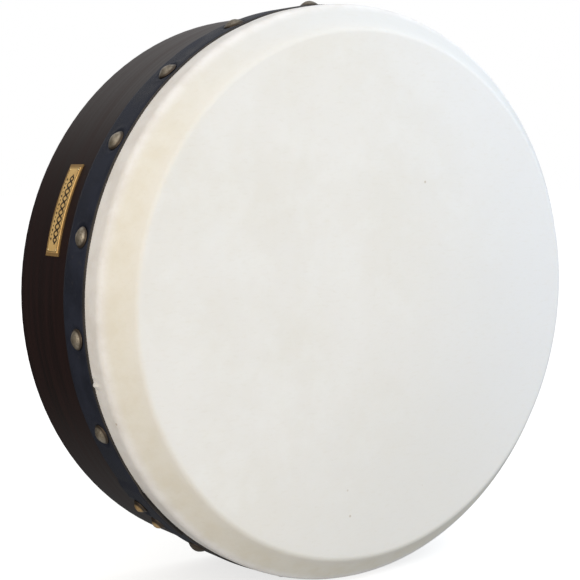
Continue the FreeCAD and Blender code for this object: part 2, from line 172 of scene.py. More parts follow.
def ripple(angle, seed, lowest, highest):
    """A smooth closed wave round the drum, between about -1 and 1."""
    dice = random.Random(seed)
    total = 0.0
    weight = 0.0
    for order in range(lowest, highest + 1):
        share = dice.uniform(0.5, 1.0) / math.sqrt(order)
        total += share * math.sin(order * angle + dice.uniform(0, TAU))
        weight += share
    return total / weight * 1.6


def smooth(value):
    """Eases a value from 0 to 1."""
    value = min(max(value, 0.0), 1.0)
    return value * value * (3 - 2 * value)


# ---- mesh making ----


def new_piece(name, mesh, material, body, shade_smooth=True):
    """A finished mesh as an object that rides on a body."""
    data = bpy.data.meshes.new(name)
    bmesh.ops.recalc_face_normals(mesh, faces=mesh.faces)
    mesh.to_mesh(data)
    mesh.free()
    for face in data.polygons:
        face.use_smooth = shade_smooth
    data.materials.append(material)
    piece = bpy.data.objects.new(name, data)
    bpy.context.scene.collection.objects.link(piece)
    if body is not None:
        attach(piece, body)
    return piece


def bridge(mesh, rings, closed_stack=False, caps=False):
    """Joins closed rings of points with the same count into a skin of quads."""
    rows = [[mesh.verts.new(point) for point in ring] for ring in rings]
    count = len(rows[0])
    pairs = list(zip(rows, rows[1:]))
    if closed_stack:
        pairs.append((rows[-1], rows[0]))
    for low, high in pairs:
        for index in range(count):
            following = (index + 1) % count
            mesh.faces.new((low[index], low[following], high[following], high[index]))
    if caps:
        mesh.faces.new(rows[0])
        mesh.faces.new(rows[-1])
    return rows


def turned_shape(mesh, profile, place, segments, wobble=None):
    """Turns a profile of (radius, height) about a local Z axis and places it with a matrix."""
    rings = []
    for radius, height in profile:
        ring = []
        for index in range(segments):
            angle = TAU * index / segments
            lift = height if wobble is None else height + wobble(radius, angle)
            ring.append(place @ Vector((radius * math.cos(angle), radius * math.sin(angle), lift)))
        rings.append(ring)
    bridge(mesh, rings, caps=True)


def looking_out(angle, radius, along, spin=0.0):
    """A matrix whose local Z points out of the drum's wall at an angle."""
    outward = Vector((math.cos(angle), 0, math.sin(angle)))
    across = Vector((0, 1, 0))
    side = across.cross(outward)
    basis = Matrix((side, across, outward)).transposed().to_4x4()
    return Matrix.Translation(polar(radius, angle, along)) @ basis @ Matrix.Rotation(spin, 4, "Z")


# ---- materials ----


class Surface:
    """A node material with short calls for the nodes that it uses."""

    def __init__(self, name):
        self.material = bpy.data.materials.new(name)
        self.material.use_nodes = True
        self.tree = self.material.node_tree
        self.shader = self.tree.nodes["Principled BSDF"]
        self.place = self.add("ShaderNodeTexCoord").outputs["Object"]

    def add(self, kind, settings=None, inputs=None):
        node = self.tree.nodes.new(kind)
        for key, value in (settings or {}).items():
            setattr(node, key, value)
        for key, value in (inputs or {}).items():
            self.put(value, node.inputs[key])
        return node

    def put(self, value, socket):
        if isinstance(value, bpy.types.NodeSocket):
            self.tree.links.new(value, socket)
        else:
            socket.default_value = value

    def plain(self, **values):
        """Sets numbers and colours that are the same all over, on the shader itself."""
        for key, value in values.items():
            self.shader.inputs[key.replace("_", " ")].default_value = value

    def math(self, operation, first, second=0.0, third=0.0):
        node = self.add("ShaderNodeMath", {"operation": operation})
        self.put(first, node.inputs[0])
        self.put(second, node.inputs[1])
        self.put(third, node.inputs[2])
        return node.outputs[0]

    def split(self, vector):
        return self.add("ShaderNodeSeparateXYZ", None, {"Vector": vector}).outputs

    def join(self, x, y, z):
        return self.add("ShaderNodeCombineXYZ", None, {"X": x, "Y": y, "Z": z}).outputs["Vector"]

    def noise(self, vector, scale, detail=4.0, roughness=0.55):
        node = self.add("ShaderNodeTexNoise", None, {
            "Vector": vector, "Scale": scale, "Detail": detail, "Roughness": roughness})
        return node.outputs["Fac"]

    def band(self, value, low, high, out_low=0.0, out_high=1.0):
        node = self.add("ShaderNodeMapRange", {"interpolation_type": "SMOOTHSTEP"}, {
            "Value": value, "From Min": low, "From Max": high, "To Min": out_low, "To Max": out_high})
        return node.outputs["Result"]

    def blend(self, share, first, second, mode="MIX"):
        node = self.add("ShaderNodeMix", {"data_type": "RGBA", "blend_type": mode})
        self.put(share, node.inputs["Factor"])
        self.put(first, node.inputs["A"])
        self.put(second, node.inputs["B"])
        return node.outputs["Result"]

    def colour(self, value):
        self.put(value, self.shader.inputs["Base Color"])

    def rough(self, value):
        self.put(value, self.shader.inputs["Roughness"])

    def bump(self, height, distance, strength=1.0):
        node = self.add("ShaderNodeBump", None, {
            "Height": height, "Distance": distance, "Strength": strength})
        self.put(node.outputs["Normal"], self.shader.inputs["Normal"])

    def from_axis(self, x, z):
        """Distance from the drum's axis."""
        squares = self.math("ADD", self.math("MULTIPLY", x, x), self.math("MULTIPLY", z, z))
        return self.math("SQRT", squares)

    def round_drum(self, seam):
        """Distance round the drum from a seam, Y, and radius, for grain that follows the hoop."""
        turned = self.add("ShaderNodeVectorRotate", {"rotation_type": "Y_AXIS"}, {
            "Vector": self.place, "Angle": seam})
        x, y, z = self.split(turned.outputs["Vector"])
        angle = self.math("ARCTAN2", z, x)
        radius = self.from_axis(x, z)
        return self.math("MULTIPLY", angle, SHELL_RADIUS), y, radius


def rgb(red, green, blue):
    return (red, green, blue, 1.0)


def goatskin():
    """Dry cream-white hide: faint mottling, short fibres, a few dark pores, a creamier slope, darker
    towards the lower right, with painted cool light on the right of the face and on the upper right of the
    slope.
    """
    skin = Surface("goatskin")
    skin.plain(IOR=1.45, Specular_IOR_Level=0.24, Subsurface_Weight=0.06, Subsurface_Scale=0.004)
    skin.shader.inputs["Subsurface Radius"].default_value = (1.0, 0.7, 0.45)
    x, y, z = skin.split(skin.place)
    radius = skin.from_axis(x, z)
    patches = skin.noise(skin.place, 9.0, 5.0, 0.6)
    clouds = skin.noise(skin.place, 34.0, 6.0, 0.62)
    fibres = skin.noise(skin.join(skin.math("MULTIPLY", x, 0.35), y, z), 420.0, 5.0, 0.6)
    face = skin.blend(skin.band(patches, 0.34, 0.66), rgb(0.828, 0.806, 0.782), rgb(0.80, 0.772, 0.73))
    face = skin.blend(skin.band(clouds, 0.42, 0.72, 0.0, 0.45), face, rgb(0.86, 0.85, 0.835))
    # the face darkens towards the lower right
    darkening = skin.band(skin.math("SUBTRACT", x, z), -0.02, 0.24, 0.0, 0.8)
    face = skin.blend(darkening, face, rgb(0.755, 0.742, 0.725))
    # painted light: a cool bluish tint of skylight over the right and upper right of the face
    painted_cool_light = skin.band(skin.math("ADD", x, skin.math("MULTIPLY", z, 0.3)), -0.02, 0.24, 0.0, 0.8)
    face = skin.blend(painted_cool_light, face, rgb(0.80, 0.81, 0.845))
    crest = SKIN_RADIUS - SLOPE_WIDTH
    on_slope = skin.band(radius, crest - 6 * MM, crest + 9 * MM)
    on_wall = skin.band(radius, SKIN_RADIUS - 7 * MM, SKIN_RADIUS - 0.3 * MM)
    streaks = skin.band(skin.noise(skin.place, 60.0, 4.0), 0.35, 0.7)
    slope = skin.blend(streaks, rgb(0.82, 0.79, 0.725), rgb(0.785, 0.745, 0.66))
    # painted light: the slope turns a cool bluish grey on the upper right, where skylight falls
    painted_cool_slope = skin.band(skin.math("ADD", x, z), -0.12, 0.16, 0.0, 0.75)
    slope = skin.blend(painted_cool_slope, slope, rgb(0.735, 0.74, 0.76))
    wall = skin.blend(streaks, rgb(0.90, 0.885, 0.89), rgb(0.81, 0.785, 0.775))
    tone = skin.blend(on_slope, face, slope)
    tone = skin.blend(on_wall, tone, wall)
    tone = skin.blend(skin.band(fibres, 0.5, 0.8, 0.0, 0.16), tone, rgb(0.66, 0.60, 0.50))
    pores = skin.add("ShaderNodeTexVoronoi", {"feature": "F1"}, {"Vector": skin.place, "Scale": 52.0})
    chance = skin.split(pores.outputs["Color"])[0]
    spots = skin.band(pores.outputs["Distance"], 0.075, 0.03)
    dots = skin.math("MULTIPLY", spots, skin.band(chance, 0.79, 0.83))
    tone = skin.blend(skin.math("MULTIPLY", dots, 0.55), tone, rgb(0.42, 0.33, 0.24))
    skin.colour(tone)
    skin.rough(skin.band(clouds, 0.3, 0.7, 0.46, 0.62))
    grain = skin.noise(skin.place, 900.0, 3.0)
    height = skin.math("ADD", skin.math("MULTIPLY", grain, 0.35), skin.math("MULTIPLY", clouds, 0.65))
    skin.bump(height, 0.12 * MM, 0.6)
    return skin.material


def stained_wood(name, along):
    """Very dark red-brown stain under a satin coat. along is X or Z for a bar, or ROUND for the hoop."""
    wood = Surface(name)
    wood.plain(Coat_Weight=0.05, Coat_Roughness=0.35, IOR=1.5, Specular_IOR_Level=0.30)
    if along == "ROUND":
        around, y, radius = wood.round_drum(math.radians(62))
        grain_place = wood.join(wood.math("MULTIPLY", around, 7.0), wood.math("MULTIPLY", y, 230.0),
                                wood.math("MULTIPLY", radius, 230.0))
    else:
        stretch = {"X": (7.0, 230.0, 230.0), "Z": (230.0, 230.0, 7.0)}[along]
        scaled = wood.add("ShaderNodeMapping", None, {"Vector": wood.place, "Scale": stretch})
        grain_place = scaled.outputs["Vector"]
    grain = wood.noise(grain_place, 1.0, 6.0, 0.65)
    pores = wood.noise(grain_place, 4.0, 3.0, 0.7)
    cloud = wood.noise(wood.place, 11.0, 3.0)
    tone = wood.blend(wood.band(grain, 0.35, 0.68), rgb(0.0075, 0.0025, 0.0024), rgb(0.0185, 0.0056, 0.005))
    tone = wood.blend(wood.band(cloud, 0.35, 0.7, 0.0, 0.5), tone, rgb(0.014, 0.0052, 0.0062))
    tone = wood.blend(wood.band(pores, 0.6, 0.75, 0.0, 0.6), tone, rgb(0.005, 0.0033, 0.0033))
    wood.colour(tone)
    wood.rough(wood.band(grain, 0.3, 0.7, 0.42, 0.52))
    open_pores = wood.math("MULTIPLY", wood.band(pores, 0.58, 0.75), 0.6)
    wood.bump(wood.math("SUBTRACT", grain, open_pores), 0.05 * MM, 0.4)
    return wood.material


def birch():
    """Plain pale wood of the inner ring, with grain that follows the hoop."""
    wood = Surface("birch")
    wood.plain(IOR=1.5, Coat_Weight=0.1, Coat_Roughness=0.35)
    around, y, radius = wood.round_drum(math.radians(200))
    grain_place = wood.join(wood.math("MULTIPLY", around, 9.0), wood.math("MULTIPLY", y, 260.0),
                            wood.math("MULTIPLY", radius, 900.0))
    grain = wood.noise(grain_place, 1.0, 6.0, 0.6)
    plies = wood.band(wood.math("SINE", wood.math("MULTIPLY", radius, TAU / (1.5 * MM))), -0.2, 0.2)
    tone = wood.blend(wood.band(grain, 0.35, 0.68), rgb(0.62, 0.44, 0.26), rgb(0.45, 0.29, 0.155))
    tone = wood.blend(wood.math("MULTIPLY", plies, 0.18), tone, rgb(0.33, 0.20, 0.11))
    wood.colour(tone)
    wood.rough(wood.band(grain, 0.3, 0.7, 0.48, 0.62))
    wood.bump(grain, 0.1 * MM, 0.5)
    return wood.material


def band_tape(name, dark, light):
    """Woven tape with a waxy navy-black finish: fine crossed threads and faint handling wear."""
    tape = Surface(name)
    tape.plain(IOR=1.48, Specular_IOR_Level=0.22)
    around, y, _ = tape.round_drum(math.radians(140))
    warp = tape.math("SINE", tape.math("MULTIPLY", around, TAU / (1.1 * MM)))
    weft = tape.math("SINE", tape.math("MULTIPLY", y, TAU / (0.8 * MM)))
    weave = tape.math("MULTIPLY", warp, weft)
    cloud = tape.noise(tape.place, 40.0, 5.0)
    wear = tape.noise(tape.place, 190.0, 4.0)
    tone = tape.blend(tape.band(cloud, 0.35, 0.7), dark, light)
    tone = tape.blend(tape.band(weave, 0.2, 1.0, 0.0, 0.2), tone, rgb(0.05, 0.055, 0.07))
    tone = tape.blend(tape.band(wear, 0.62, 0.8, 0.0, 0.35), tone, rgb(0.075, 0.07, 0.07))
    tape.colour(tone)
    tape.rough(tape.band(cloud, 0.3, 0.7, 0.48, 0.64))
    tape.bump(tape.math("ADD", tape.math("MULTIPLY", weave, 0.5), wear), 0.12 * MM, 0.6)
    return tape.material


def metal(name, bright, dull, smoothest, roughest, patch_scale, tarnish=0.4):
    """Metal with tarnish in patches, fine scratches and small dents."""
    plating = Surface(name)
    plating.plain(Metallic=1.0)
    patches = plating.noise(plating.place, patch_scale, 6.0, 0.62)
    scratches = plating.noise(plating.place, patch_scale * 9, 3.0, 0.7)
    tone = plating.blend(plating.band(patches, 0.5 - tarnish / 2, 0.5 + tarnish / 2), bright, dull)
    tone = plating.blend(plating.band(scratches, 0.55, 0.8, 0.0, 0.35), tone, bright)
    plating.colour(tone)
    plating.rough(plating.band(patches, 0.3, 0.7, smoothest, roughest))
    plating.bump(plating.math("ADD", patches, plating.math("MULTIPLY", scratches, 0.3)), 0.06 * MM, 0.5)
    return plating.material


def tack_metal(name, seat, clean, tarnished, rim_height, painted_shade):
    """Hammered antique plating: a dark rim that is partly patina and partly painted shade, and painted
    shade on the tacks near the drum's top and bottom.
    """
    plating = Surface(name)
    plating.plain(Metallic=0.82, Specular_IOR_Level=0.6)
    patches = plating.noise(plating.place, 240.0, 6.0, 0.6)
    streaks = plating.noise(plating.place, 1400.0, 3.0, 0.7)
    cells = plating.add("ShaderNodeTexVoronoi", {"feature": "SMOOTH_F1"}, {
        "Vector": plating.place, "Scale": 950.0})
    hammered = cells.outputs["Distance"]
    x, _, z = plating.split(plating.place)
    height = plating.math("SUBTRACT", plating.from_axis(x, z), seat)
    tone = plating.blend(plating.band(patches, 0.35, 0.65), clean, tarnished)
    tone = plating.blend(plating.band(streaks, 0.5, 0.8, 0.0, 0.4), tone, rgb(0.74, 0.60, 0.40))
    tone = plating.blend(plating.band(hammered, 0.5, 0.8, 0.0, 0.5), tone, rgb(0.15, 0.11, 0.075))
    # the rim and foot of each head go dark: partly patina, partly painted shade where the head meets the
    # tape
    on_dome = plating.band(height, rim_height, rim_height + 1.2 * MM)
    tone = plating.blend(on_dome, rgb(0.085, 0.065, 0.05), tone)
    # painted shade: tacks near the drum's bottom, and half as much near its top, are darkened towards
    # near-black
    above = plating.band(z, 0.13, 0.20, 0.0, painted_shade / 2)
    below = plating.band(z, -0.13, -0.18, 0.0, painted_shade)
    plating.colour(plating.blend(plating.math("MAXIMUM", above, below), tone, rgb(0.06, 0.045, 0.035)))
    plating.rough(plating.band(patches, 0.3, 0.7, 0.36, 0.56))
    plating.bump(plating.math("SUBTRACT", patches, plating.math("MULTIPLY", hammered, 1.2)), 0.12 * MM, 0.7)
    return plating.material


def brushed_brass():
    """The plate's polished brass, brushed along its length and darker on its lower border."""
    brass = Surface("brushed_brass")
    brass.plain(Metallic=0.35, Specular_IOR_Level=0.4)
    around, y, radius = brass.round_drum(0.0)
    streak_place = brass.join(brass.math("MULTIPLY", around, 60.0), brass.math("MULTIPLY", y, 3200.0),
                              radius)
    brushing = brass.noise(streak_place, 1.0, 4.0, 0.6)
    patches = brass.noise(brass.place, 120.0, 5.0)
    tone = brass.blend(brass.band(patches, 0.35, 0.7), rgb(0.93, 0.64, 0.27), rgb(0.83, 0.54, 0.21))
    tone = brass.blend(brass.band(brushing, 0.5, 0.85, 0.0, 0.3), tone, rgb(1.0, 0.80, 0.46))
    from_middle = brass.round_drum((PLATE_FIRST + PLATE_LAST) / 2)[0]
    across = brass.math("ABSOLUTE", brass.math("SUBTRACT", y, (PLATE_FRONT + PLATE_BACK) / 2))
    rim_across = (PLATE_BACK - PLATE_FRONT) / 2 - 2.0 * MM
    rim_along = (PLATE_LAST - PLATE_FIRST) / 2 * SHELL_RADIUS - 2.9 * MM
    ends = brass.band(brass.math("ABSOLUTE", from_middle), rim_along, rim_along + 0.7 * MM)
    edges = brass.band(across, rim_across, rim_across + 0.7 * MM)
    darkening = brass.math("MULTIPLY", brass.math("MAXIMUM", ends, edges), 0.85)
    brass.colour(brass.blend(darkening, tone, rgb(0.26, 0.155, 0.06)))
    brass.rough(brass.band(brushing, 0.3, 0.7, 0.36, 0.5))
    brass.bump(brushing, 0.04 * MM, 0.4)
    return brass.material


def engraving_fill():
    """Dark wax in the plate's engraved lines."""
    wax = Surface("engraving_fill")
    wax.plain(IOR=1.45)
    grain = wax.noise(wax.place, 900.0, 3.0)
    wax.colour(wax.blend(grain, rgb(0.018, 0.011, 0.006), rgb(0.06, 0.038, 0.02)))
    wax.rough(wax.band(grain, 0.3, 0.7, 0.4, 0.65))
    wax.bump(grain, 0.03 * MM, 0.4)
    return wax.material


def black_steel():
    """Blackened steel of the brackets, rubbed a little brighter in patches."""
    steel = Surface("black_steel")
    steel.plain(Metallic=1.0)
    patches = steel.noise(steel.place, 70.0, 6.0, 0.65)
    grit = steel.noise(steel.place, 1200.0, 2.0)
    tone = steel.blend(steel.band(patches, 0.5, 0.78), rgb(0.045, 0.046, 0.05), rgb(0.15, 0.145, 0.14))
    steel.colour(tone)
    steel.rough(steel.band(grit, 0.3, 0.7, 0.38, 0.55))
    steel.bump(grit, 0.05 * MM, 0.5)
    return steel.material


# ---- the head ----


def head_outline():
    """The head's outer line from its middle to the end of its skirt, as (radius, Y)."""
    mitre = math.tan(math.radians(22.5))
    crest = SKIN_RADIUS - SLOPE_WIDTH
    bend = FACE + SLOPE_WIDTH
    points = []
    flat_end = crest - CREST_ROUND * mitre
    flat_steps = 30
    for step in range(1, flat_steps):
        points.append((flat_end * step / flat_steps, FACE))
    for step in range(9):
        turn = math.radians(45) * step / 8
        points.append((flat_end + CREST_ROUND * math.sin(turn), FACE + CREST_ROUND * (1 - math.cos(turn))))
    slope_start = points[-1]
    edge_end = bend + EDGE_ROUND * mitre
    edge = []
    for step in range(7):
        turn = math.radians(45) * (1 - step / 6)
        inset = EDGE_ROUND * (1 - math.cos(turn))
        edge.append((SKIN_RADIUS - inset, edge_end - EDGE_ROUND * math.sin(turn)))
    slope_steps = 10
    for step in range(1, slope_steps):
        share = step / slope_steps
        points.append((slope_start[0] + (edge[0][0] - slope_start[0]) * share,
                       slope_start[1] + (edge[0][1] - slope_start[1]) * share))
    points += edge
    skirt_steps = 20
    for step in range(1, skirt_steps + 1):
        points.append((SKIN_RADIUS, edge_end + (SKIRT_END - edge_end) * step / skirt_steps))
    return points


def pucker(angle, along):
    """Height of the small crease in the skin beside the band at the lower left."""
    span = angle_gap(angle, PUCKER_ANGLE) * SKIN_RADIUS
    near_band = math.exp(-((along - (BAND_FRONT - 2.0 * MM)) / (5.0 * MM)) ** 2)
    fold = math.cos(span / (1.25 * MM)) * math.exp(-(span / (4.2 * MM)) ** 2)
    return 1.1 * MM * fold * near_band


def head_point(radius, along, angle):
    """A point of the hide: a little uneven, and drawn in towards each tack on its skirt."""
    crest = SKIN_RADIUS - SLOPE_WIDTH
    if radius < crest - 4 * MM:
        place = polar(radius, angle, 0) * 14
        lift = 0.16 * MM * (noise.noise(place) + 0.4 * noise.noise(place * 3)) * smooth(radius / (40 * MM))
        return polar(radius, angle, along - abs(lift))
    edge_share = smooth((radius - crest) / SLOPE_WIDTH)
    out = 0.15 * MM * (1 + ripple(angle, 5, 3, 14)) * (1 - 0.5 * edge_share)
    forward = 0.2 * MM * (1 + ripple(angle, 9, 2, 11)) * (1 - edge_share)
    skirt = smooth((along - SHELL_FRONT) / (10 * MM))
    before_band = smooth((BAND_FRONT + 4 * MM - along) / (4 * MM))
    pull = 0.0
    for tack in TACK_ANGLES:
        pull += math.exp(-(angle_gap(angle, tack) / math.radians(4.2)) ** 2)
    out += skirt * before_band * (0.24 * MM * (1 - min(pull, 1.0)) + pucker(angle, along))
    return polar(radius + max(out, 0.02 * MM), angle, along - forward)


def head_angles():
    """Even steps round the head, with finer ones through the crease."""
    coarse = [TAU * index / 720 for index in range(720)]
    spare = [angle for angle in coarse if angle_gap(angle, PUCKER_ANGLE) > math.radians(2.5)]
    fine = [PUCKER_ANGLE + math.radians(0.1) * step for step in range(-24, 25)]
    return sorted(spare + fine)


def build_head():
    """The stretched hide as one closed sheet, flat over the ring and nailed round the wall."""
    angles = head_angles()
    outline = head_outline()
    mesh = bmesh.new()
    rings = [[head_point(radius, along, angle) for angle in angles] for radius, along in outline]
    inner_rings = []
    for index in range(len(outline)):
        before = Vector(outline[max(index - 1, 0)])
        after = Vector(outline[min(index + 1, len(outline) - 1)])
        travel = (after - before).normalized()
        radius = outline[index][0] - travel.y * SKIN_THICKNESS
        along = outline[index][1] + travel.x * SKIN_THICKNESS
        inner_rings.append([polar(radius, angle, along) for angle in angles])
    rows = bridge(mesh, rings + inner_rings[::-1])
    for row, along in ((rows[0], FACE), (rows[-1], FACE + SKIN_THICKNESS)):
        middle = mesh.verts.new((0, along, 0))
        for index, vertex in enumerate(row):
            mesh.faces.new((vertex, row[(index + 1) % len(row)], middle))
    piece = new_piece("goatskin_head", mesh, goatskin(), None)
    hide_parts("skin")
    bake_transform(piece)
    return piece


# ---- the band ----


def band_lift(travel):
    """How far the strip has climbed on to its own start, as it reaches the lap."""
    rise = smooth((travel - (TAU - math.radians(2.4))) / math.radians(2.2))
    return (BAND_THICKNESS + 0.05 * MM) * rise


def band_strip(steps):
    """(angle, lift) along the whole strip, from its covered start to its free end."""
    length = TAU + (LAP_LAST - LAP_FIRST)
    travels = [length * step / steps for step in range(steps + 1)]
    return [(LAP_FIRST + travel, band_lift(travel)) for travel in travels]


def tack_dimple(angle, along):
    """How far the tape sinks under the nearest tack, with a soft lip round it, and swells between tacks."""
    nearest = math.inf
    gap = math.inf
    for tack, line in TACK_SPOTS:
        turn = angle_gap(angle, tack)
        gap = min(gap, turn)
        nearest = min(nearest, math.hypot(turn * BAND_RADIUS, along - line))
    sink = 1.05 * MM * (1 - smooth((nearest - 6.5 * MM) / (4.5 * MM)))
    lip = 0.30 * MM * math.exp(-((nearest - 11.2 * MM) / (1.8 * MM)) ** 2)
    swell = 0.16 * MM * smooth(gap / math.radians(8))
    return swell + lip - sink


def build_band(tape, bead):
    """The tape over the hide's edge, tucked under a rolled double bead along its front."""
    tucked = BAND_FRONT + 2 * BEAD_RADIUS + 2 * SECOND_BEAD_RADIUS - 2.2 * MM
    mesh = bmesh.new()
    across = 22
    rings = []
    for angle, lift in band_strip(1500):
        back = BAND_BACK + 0.22 * MM * ripple(angle, 21, 5, 30)
        ring = []
        for step in range(across + 1):
            share = step / across
            along = tucked + (back - tucked) * share
            edge = min(smooth(share * across / 2.4), smooth((1 - share) * across / 2.0))
            reach = BAND_RADIUS - 0.45 * MM * (1 - edge) + tack_dimple(angle, along) + lift
            ring.append(polar(reach, angle, along))
        for share in (1.0, 0.0):
            along = tucked + (back - tucked) * share
            ring.append(polar(BAND_RADIUS - BAND_THICKNESS + lift + 0.04 * MM, angle, along))
        rings.append(ring)
    bridge(mesh, rings, caps=True)
    band = new_piece("trim_tape", mesh, tape, "shell")
    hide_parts("trim_band", "band_end")
    second_row = BAND_FRONT + 2 * BEAD_RADIUS + SECOND_BEAD_RADIUS * 0.8
    build_bead("front_bead", BEAD_RADIUS, BAND_FRONT + BEAD_RADIUS, 620, bead)
    build_bead("second_bead", SECOND_BEAD_RADIUS, second_row, 760, bead)


def build_bead(name, radius, along, twists, material):
    """One flattened, twisted cord of the piping, laid along the band's front edge."""
    mesh = bmesh.new()
    rings = []
    sides = 8
    for angle, lift in band_strip(4200):
        ring = []
        centre = SKIN_RADIUS + BEAD_RISE + lift + 0.08 * MM * ripple(angle, 31, 9, 40)
        drift = 0.15 * MM * ripple(angle, 33, 4, 24)
        for side in range(sides):
            turn = TAU * side / sides
            reach = radius * (1 + BEAD_TWIST * math.sin(twists * angle + 2 * turn))
            ring.append(polar(centre + BEAD_FLATNESS * reach * math.cos(turn), angle,
                              along + drift + reach * math.sin(turn)))
        rings.append(ring)
    bridge(mesh, rings, caps=True)
    new_piece(name, mesh, material, "shell")


# ---- tacks, plate and screws ----


def tack_profile(rim):
    """Half the outline of a tack's head: a thin turned-down rim and a low dome."""
    shoulder = rim - 0.9 * MM
    profile = [(0.4 * MM, 0.0), (rim - 0.3 * MM, 0.0), (rim, 0.25 * MM), (rim - 0.05 * MM, 0.75 * MM),
               (rim - 0.35 * MM, 1.15 * MM), (shoulder, TACK_BRIM)]
    steps = 12
    for step in range(1, steps):
        left = 1 - step / steps
        profile.append((shoulder * left, TACK_BRIM + (TACK_DOME - TACK_BRIM) * (1 - left ** 2)))
    profile.append((0.15 * MM, TACK_DOME))
    return profile


def build_tacks(name, places, seat, rim, material, node):
    """Domed nail heads, each driven a little differently and lightly dented by the hammer."""
    dice = random.Random(name)
    mesh = bmesh.new()
    for place in places:
        angle = math.atan2(place.z, place.x)
        lean = Matrix.Rotation(dice.uniform(-TACK_LEAN, TACK_LEAN), 4, "X")
        lean = lean @ Matrix.Rotation(dice.uniform(-TACK_LEAN, TACK_LEAN), 4, "Y")
        matrix = looking_out(angle, seat, place.y, dice.uniform(0, TAU)) @ lean
        offset = Vector((dice.uniform(0, 50), 0, 0))

        def dents(radius, turn):
            spot = Vector((radius * math.cos(turn), radius * math.sin(turn), 0)) * 420 + offset
            return 0.07 * MM * noise.noise(spot)

        turned_shape(mesh, tack_profile(rim), matrix, 40, dents)
    piece = new_piece(name, mesh, material, "shell")
    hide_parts(node)


def on_plate(arc, along, rise):
    """A point on the curved plate, from distances along and across it and a height above it."""
    middle = (PLATE_FIRST + PLATE_LAST) / 2
    return polar(PLATE_TOP + rise, middle + arc / PLATE_TOP, (PLATE_FRONT + PLATE_BACK) / 2 + along)


def ribbon(mesh, path, width, closed=False):
    """A thin raised line that follows a path over the plate."""
    rings = []
    count = len(path)
    for index, (arc, along) in enumerate(path):
        before = path[index - 1] if closed or index > 0 else path[0]
        after = path[(index + 1) % count] if closed or index < count - 1 else path[-1]
        travel = Vector((after[0] - before[0], after[1] - before[1])).normalized()
        side = Vector((-travel.y, travel.x)) * (width / 2)
        near = (arc + side.x, along + side.y)
        far = (arc - side.x, along - side.y)
        rings.append([on_plate(*near, LINE_ROOT), on_plate(*near, LINE_TOP),
                      on_plate(*far, LINE_TOP), on_plate(*far, LINE_ROOT)])
    bridge(mesh, rings, closed_stack=closed, caps=not closed)


def build_plate_ornament(material):
    """A plain twist and a row of small lozenges inside a ruled border, in place of any lettering."""
    mesh = bmesh.new()
    half_length = (PLATE_LAST - PLATE_FIRST) * PLATE_TOP / 2 - 3.3 * MM
    half_width = (PLATE_BACK - PLATE_FRONT) / 2 - 2.75 * MM
    corners = [(-half_length, -half_width), (half_length, -half_width), (half_length, half_width),
               (-half_length, half_width)]
    border = []
    for index, start in enumerate(corners):
        end = corners[(index + 1) % 4]
        for step in range(24):
            share = step / 24
            border.append((start[0] + (end[0] - start[0]) * share, start[1] + (end[1] - start[1]) * share))
    ribbon(mesh, border, 0.45 * MM, closed=True)
    twist_row = -2.2 * MM
    twist_height = 3.5 * MM
    turns = 5
    for strand in (0, 1):
        path = []
        steps = 150
        for step in range(steps + 1):
            share = step / steps
            arc = (share - 0.5) * 2 * (half_length - 5.5 * MM)
            wave = math.sin(turns * TAU * share + strand * math.pi)
            path.append((arc, twist_row + twist_height * wave * smooth(min(share, 1 - share) * 12)))
        ribbon(mesh, path, 1.5 * MM)
    lozenges = 15
    lozenge_row = 4.9 * MM
    for index in range(lozenges):
        arc = ((index + 0.5) / lozenges - 0.5) * 2 * (half_length - 8 * MM)
        size = 0.85 * MM if index % 2 else 1.3 * MM
        outline = [(arc - size, lozenge_row), (arc, lozenge_row - size),
                   (arc + size, lozenge_row), (arc, lozenge_row + size)]
        rings = [[on_plate(*corner, rise) for corner in outline] for rise in (LINE_ROOT, LINE_TOP)]
        bridge(mesh, rings, caps=True)
    new_piece("plate_ornament", mesh, material, "shell", shade_smooth=False)


def slotted_head(radius, height, slots):
    """A round screw head with one slot, or two crossed ones, cut into a local +Z dome."""
    mesh = bmesh.new()
    profile = [(radius * 0.3, -0.1 * MM), (radius * 0.98, -0.1 * MM), (radius, height * 0.15)]
    for step in range(1, 9):
        turn = math.pi / 2 * step / 8
        profile.append((radius * max(math.cos(turn), 0.02), height * (0.15 + 0.85 * math.sin(turn))))
    turned_shape(mesh, profile, Matrix.Identity(4), 28)
    data = bpy.data.meshes.new("screw_head_blank")
    mesh.to_mesh(data)
    mesh.free()
    blank = bpy.data.objects.new("screw_head_blank", data)
    bpy.context.scene.collection.objects.link(blank)
    for index in range(slots):
        cutter_mesh = bmesh.new()
        bmesh.ops.create_cube(cutter_mesh, size=1.0)
        reach = radius * (2.4 if slots == 1 else 1.3)
        shape = Matrix.Translation((0, 0, height)) @ Matrix.Rotation(index * math.pi / 2, 4, "Z")
        shape = shape @ Matrix.Diagonal((reach, radius * 0.27, height * 1.1, 1.0))
        bmesh.ops.transform(cutter_mesh, matrix=shape, verts=cutter_mesh.verts)
        cutter_data = bpy.data.meshes.new("slot_cutter")
        cutter_mesh.to_mesh(cutter_data)
        cutter_mesh.free()
        cutter = bpy.data.objects.new("slot_cutter", cutter_data)
        bpy.context.scene.collection.objects.link(cutter)
        change = blank.modifiers.new("slot", "BOOLEAN")
        change.object = cutter
        change.operation = "DIFFERENCE"
        change.solver = "EXACT"
        bpy.context.view_layer.update()
        evaluated = blank.evaluated_get(bpy.context.evaluated_depsgraph_get())
        cut = bpy.data.meshes.new_from_object(evaluated)
        blank.modifiers.clear()
        blank.data = cut
        bpy.data.objects.remove(cutter)
    finished = blank.data
    bpy.data.objects.remove(blank)
    return finished


def place_copies(name, master, matrices, material, node):
    """Copies of one small mesh, joined into one piece."""
    mesh = bmesh.new()
    for matrix in matrices:
        start = len(mesh.verts)
        mesh.from_mesh(master)
        mesh.verts.ensure_lookup_table()
        bmesh.ops.transform(mesh, matrix=matrix, verts=mesh.verts[start:])
    piece = new_piece(name, mesh, material, "shell", shade_smooth=False)
    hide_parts(node)


